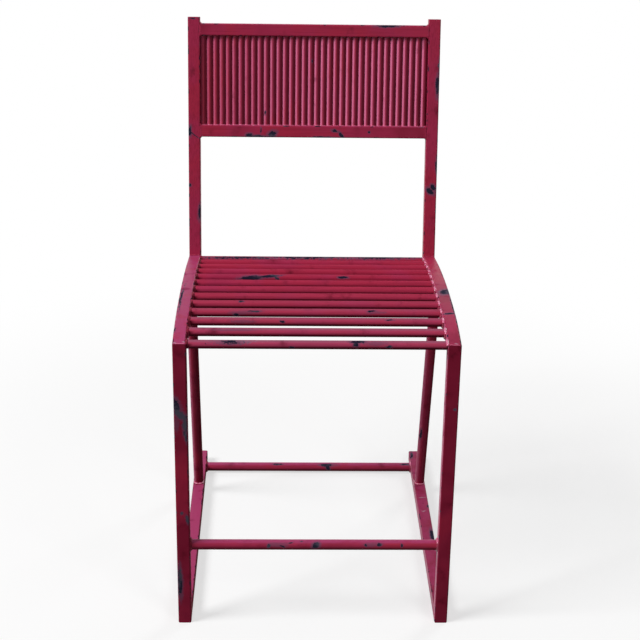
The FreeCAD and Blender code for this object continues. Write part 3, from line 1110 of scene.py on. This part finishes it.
class CHAIR_OT_weld_front_corners(bpy.types.Operator):
    """Lay the beads along the top edge of the seat's two front corners"""
    bl_idname = "chair.weld_front_corners"
    bl_label = "Weld front corners"

    def execute(self, context):
        weld = context.scene.chair_welds
        for side, run in side_runs:
            metal = bmesh.new()
            low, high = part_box("front_leg_" + side)
            corner = Vector((high.x if side == "left" else low.x, low.y, high.z))
            stations = line_of_stations(corner + run * weld.corner_start,
                                        corner + run * weld.corner_end, backward, -up)
            lay_bead(metal, stations, weld.corner_half_width, weld.corner_crown,
                     surface("side_rail_" + side), surface("front_leg_" + side), closed=False,
                     outward=(up * 2 - backward).normalized())
            add_piece("welds_front_corner_" + side, metal, weld_material("flooded"))
        return {"FINISHED"}


class CHAIR_OT_weld_legs_and_rungs(bpy.types.Operator):
    """Lay beads round the ends of the rear legs and rungs"""
    bl_idname = "chair.weld_legs_and_rungs"
    bl_label = "Weld rear legs and rungs"

    def execute(self, context):
        weld = context.scene.chair_welds
        metal = bmesh.new()
        for side in sides:
            node = "rear_leg_" + side
            foot, top = end_middles(node, up)
            low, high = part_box(node)
            for run, base_name in ((foot - top, "floor_runner_"), (top - foot, "side_rail_")):
                base = surface(base_name + side)
                ends = ring((foot + top) / 2, run, (high.x - low.x) / 2, base)
                lay_bead(metal, ends, weld.round_leg, weld.crown, base, surface(node))
        add_piece("welds_rear_legs", metal, weld_material("flooded"))
        metal = bmesh.new()
        for node, base_name in (("front_rung", "front_leg_"), ("rear_rung", "floor_runner_")):
            for side, run in side_runs:
                weld_level_tube(metal, node, run, surface(base_name + side), weld.round_leg)
        # The beads on the rungs' left half take the shaded finish: painted shade
        add_piece("welds_rungs", metal, weld_material("flooded"), weld_material("grimy"))
        return {"FINISHED"}


# Stage

def seen_by_eye(add):
    """Share that is 1 for what the camera sees, straight or in gloss or glass, and 0 for other light."""
    seen = add("LightPath", {}, {}, "Is Camera Ray")
    for ray in ("Is Glossy Ray", "Is Transmission Ray"):
        seen = add("Math", larger, {0: seen, 1: add("LightPath", {}, {}, ray)})
    return seen


def studio_paper(stage):
    """Matt white studio paper: pale and shadowed to the eye, dim to the light that it sends back."""
    material, add = blank_material("studio_paper")
    seen = seen_by_eye(add)
    place = add("TexCoord", {}, {}, "Object")
    fibre = add("TexNoise", {}, {"Vector": place, "Scale": 1 / stage.fibre_size, "Detail": 3})
    shade = add("Mix", colour, {0: seen, 6: (*stage.bounce, 1), 7: (*stage.paper, 1)}, 2)
    bumped = add("Bump", {}, {"Height": fibre, "Distance": stage.fibre_height})
    paper = add("BsdfDiffuse", {}, {"Color": shade, "Normal": bumped})
    away = add("VectorMath", {"operation": "LENGTH"}, {0: place}, "Value")
    far = add("MapRange", smooth, {
        "Value": away, "From Min": stage.shade_radius, "From Max": stage.white_radius})
    white = add("Emission", {}, {"Color": (1, 1, 1, 1), "Strength": 1.0})
    share_near_chair = 0.6
    pale = add("MapRange", {}, {"Value": far, "To Min": share_near_chair, "To Max": 1.0})
    blend = add("Math", multiply, {0: pale, 1: seen})
    mixed = add("MixShader", {}, {0: blend, 1: paper, 2: white})
    add("OutputMaterial", {}, {"Surface": mixed})
    return material


def light_room(stage):
    """White surroundings for the eye and for reflections, dim ones for the light on the chair."""
    world = bpy.data.worlds.new("studio")
    bpy.context.scene.world = world
    world.use_nodes = True
    world.node_tree.nodes.clear()
    add = partial(add_node, world.node_tree)
    seen = seen_by_eye(add)
    dim = add("Background", {}, {"Color": (1, 1, 1, 1), "Strength": stage.ambient})
    white = add("Background", {}, {"Color": (1, 1, 1, 1), "Strength": 1.0})
    mixed = add("MixShader", {}, {0: seen, 1: dim, 2: white})
    add("OutputWorld", {}, {"Surface": mixed})


def hang_soft_box(stage, name):
    """Square area light with one set of the stage's settings, turned to the chair."""
    lamp = bpy.data.lights.new(name + "_soft_box", "AREA")
    lamp.shape = "SQUARE"
    lamp.size = getattr(stage, name + "_size")
    lamp.energy = getattr(stage, name + "_power")
    light = bpy.data.objects.new(name + "_soft_box", lamp)
    light.location = getattr(stage, name + "_place")
    low, high = cad_box
    light.rotation_euler = ((low + high) / 2 - light.location).to_track_quat("-Z", "Y").to_euler()
    bpy.context.scene.collection.objects.link(light)


class CHAIR_OT_build_stage(bpy.types.Operator):
    """Add the paper floor, the soft boxes, the room light and the camera"""
    bl_idname = "chair.build_stage"
    bl_label = "Build stage"

    def execute(self, context):
        scene = context.scene
        stage = scene.chair_stage
        half = stage.floor_size / 2
        mesh = bpy.data.meshes.new("floor")
        mesh.from_pydata([(-half, -half, 0), (half, -half, 0), (half, half, 0), (-half, half, 0)], [],
                         [(0, 1, 2, 3)])
        mesh.materials.append(studio_paper(stage))
        floor = bpy.data.objects.new("floor", mesh)
        scene.collection.objects.link(floor)
        light_room(stage)
        for name in soft_boxes:
            hang_soft_box(stage, name)
        lens = bpy.data.cameras.new("camera")
        lens.lens = stage.focal_length
        lens.sensor_width = sensor_width
        camera = bpy.data.objects.new("camera", lens)
        camera.matrix_world = Matrix.Translation(stage.camera_place) @ camera_turn(stage).to_4x4()
        scene.collection.objects.link(camera)
        scene.camera = camera
        scene.view_settings.view_transform = "Standard"
        return {"FINISHED"}


class CHAIR_PT_panel(bpy.types.Panel):
    """Lists the chair's steps and settings in the 3D view's sidebar"""
    bl_label = "Steel chair"
    bl_idname = "CHAIR_PT_panel"
    bl_space_type = "VIEW_3D"
    bl_region_type = "UI"
    bl_category = "Chair"

    def draw(self, context):
        for step in operators:
            self.layout.operator(step.bl_idname)
        for settings in (context.scene.chair_paint, context.scene.chair_welds, context.scene.chair_stage):
            box = self.layout.box()
            for name in settings.__annotations__:
                box.prop(settings, name)


operators = (
    CHAIR_OT_build_stage,
    CHAIR_OT_finish_side_frames,
    CHAIR_OT_finish_seat,
    CHAIR_OT_finish_back,
    CHAIR_OT_finish_rungs,
    CHAIR_OT_weld_seat,
    CHAIR_OT_weld_rods,
    CHAIR_OT_fill_rod_joints,
    CHAIR_OT_weld_back_rails,
    CHAIR_OT_weld_side_frames,
    CHAIR_OT_weld_front_corners,
    CHAIR_OT_weld_legs_and_rungs,
)
classes = (PaintSettings, WeldSettings, StageSettings, *operators, CHAIR_PT_panel)


def register():
    for item in classes:
        bpy.utils.register_class(item)
    bpy.types.Scene.chair_paint = bpy.props.PointerProperty(type=PaintSettings)
    bpy.types.Scene.chair_welds = bpy.props.PointerProperty(type=WeldSettings)
    bpy.types.Scene.chair_stage = bpy.props.PointerProperty(type=StageSettings)


def unregister():
    del bpy.types.Scene.chair_paint
    del bpy.types.Scene.chair_welds
    del bpy.types.Scene.chair_stage
    for item in reversed(classes):
        bpy.utils.unregister_class(item)


def main():
    register()
    bpy.ops.chair.build_stage()
    bpy.ops.chair.finish_side_frames()
    bpy.ops.chair.finish_seat()
    bpy.ops.chair.finish_back()
    bpy.ops.chair.finish_rungs()
    bpy.ops.chair.weld_seat()
    bpy.ops.chair.weld_rods()
    bpy.ops.chair.fill_rod_joints()
    bpy.ops.chair.weld_back_rails()
    bpy.ops.chair.weld_side_frames()
    bpy.ops.chair.weld_front_corners()
    bpy.ops.chair.weld_legs_and_rungs()


if __name__ == "__main__":
    main()
